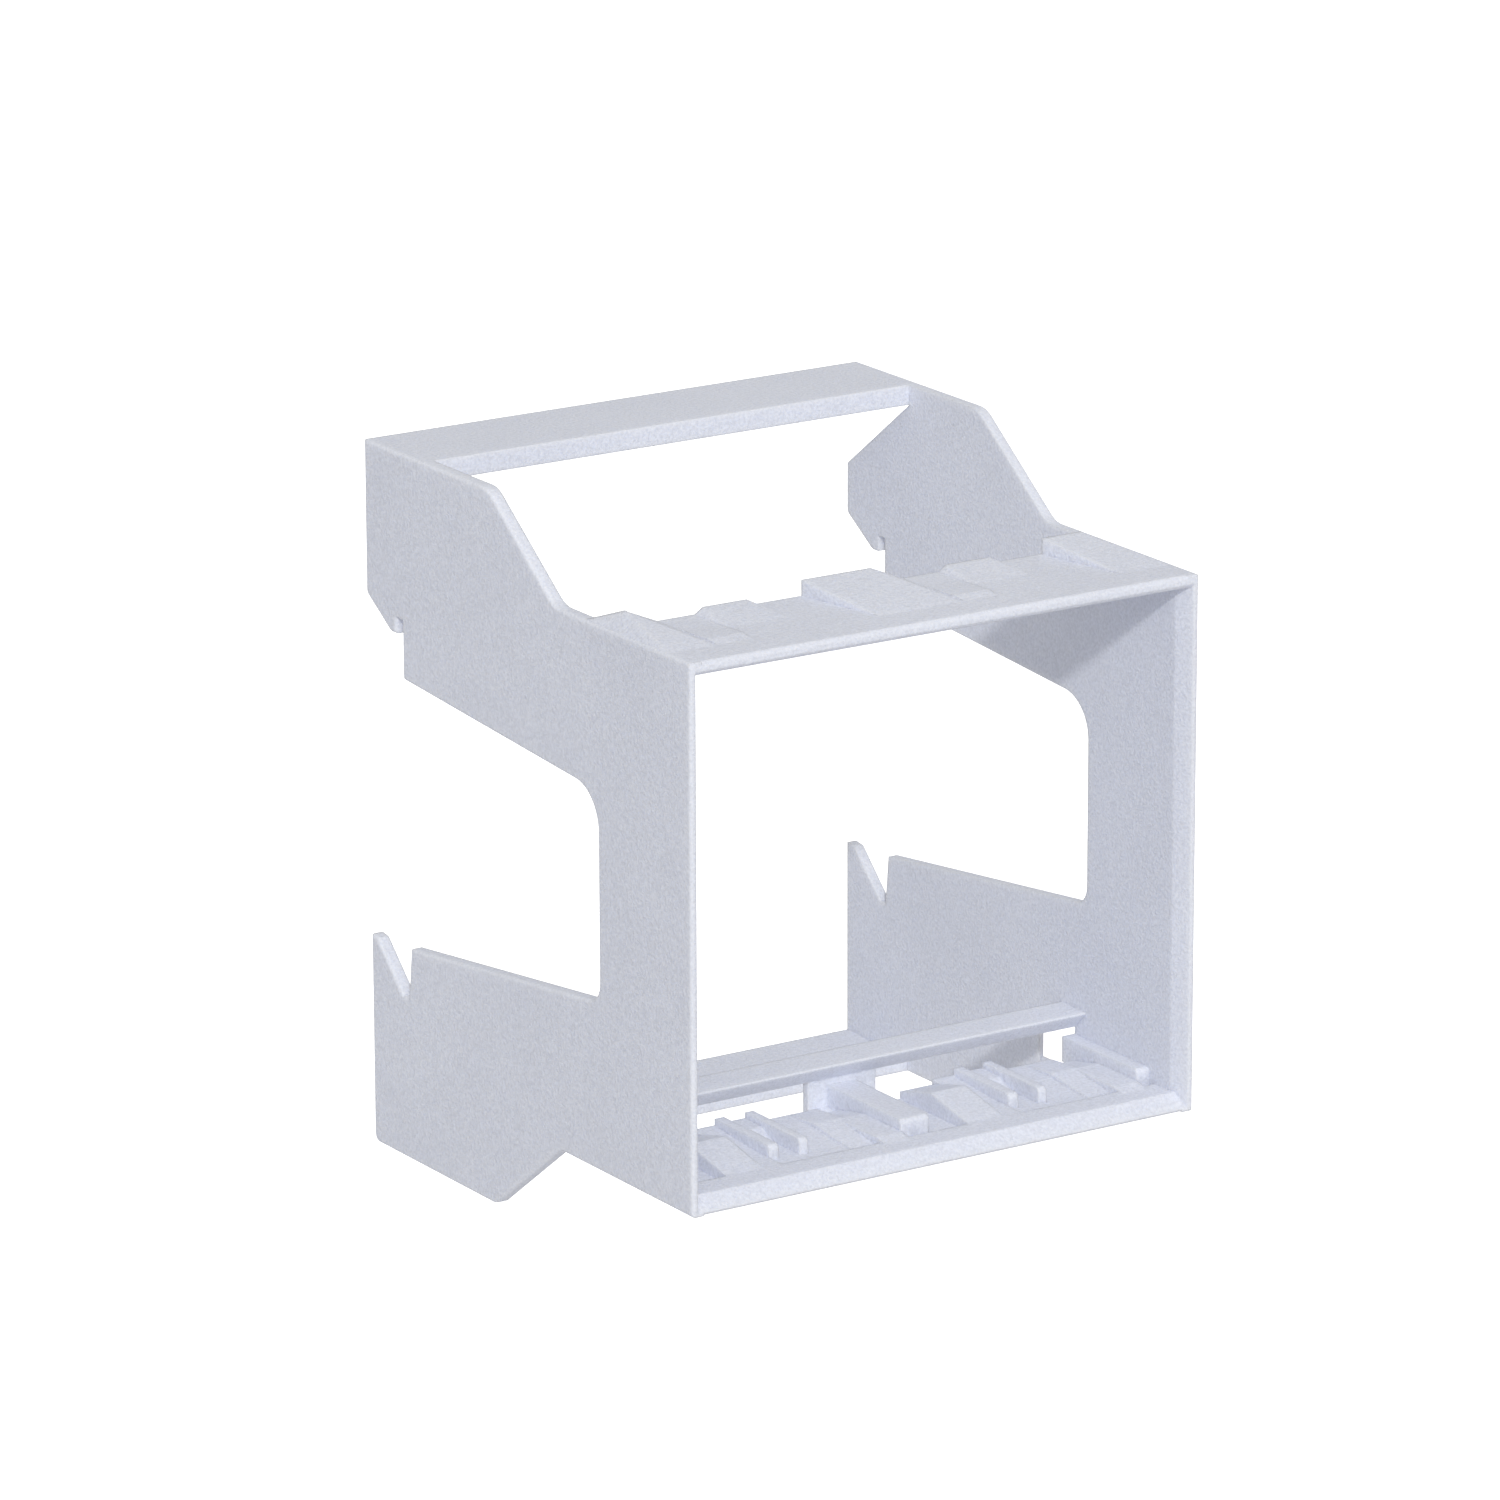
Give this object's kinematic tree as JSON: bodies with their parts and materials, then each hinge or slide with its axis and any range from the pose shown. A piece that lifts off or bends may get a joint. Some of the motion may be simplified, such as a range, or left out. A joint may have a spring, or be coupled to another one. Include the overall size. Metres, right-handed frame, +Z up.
{
  "type": "din rail keystone holder",
  "caption": "One-piece clip-on holder that carries keystone modules side by side on a 35 mm top-hat rail, open front and back, with hooks above and claws below.",
  "frame": {"origin": "middle of the rail seat: half the width, the plane of the rail's front face, and the rail's centre line", "axes": "+Y towards the wall behind the rail, -Y out of the open front, +X to the right seen from the front, +Z up along the plates' height and across the rail"},
  "size_m": [0.0536, 0.0544, 0.0666],
  "materials": {
    "keystone_holder": "fine moulded matte, light cool grey"
  },
  "bodies": {
    "root": {"keystone_holder": "keystone_holder"}
  },
  "joints": []
}
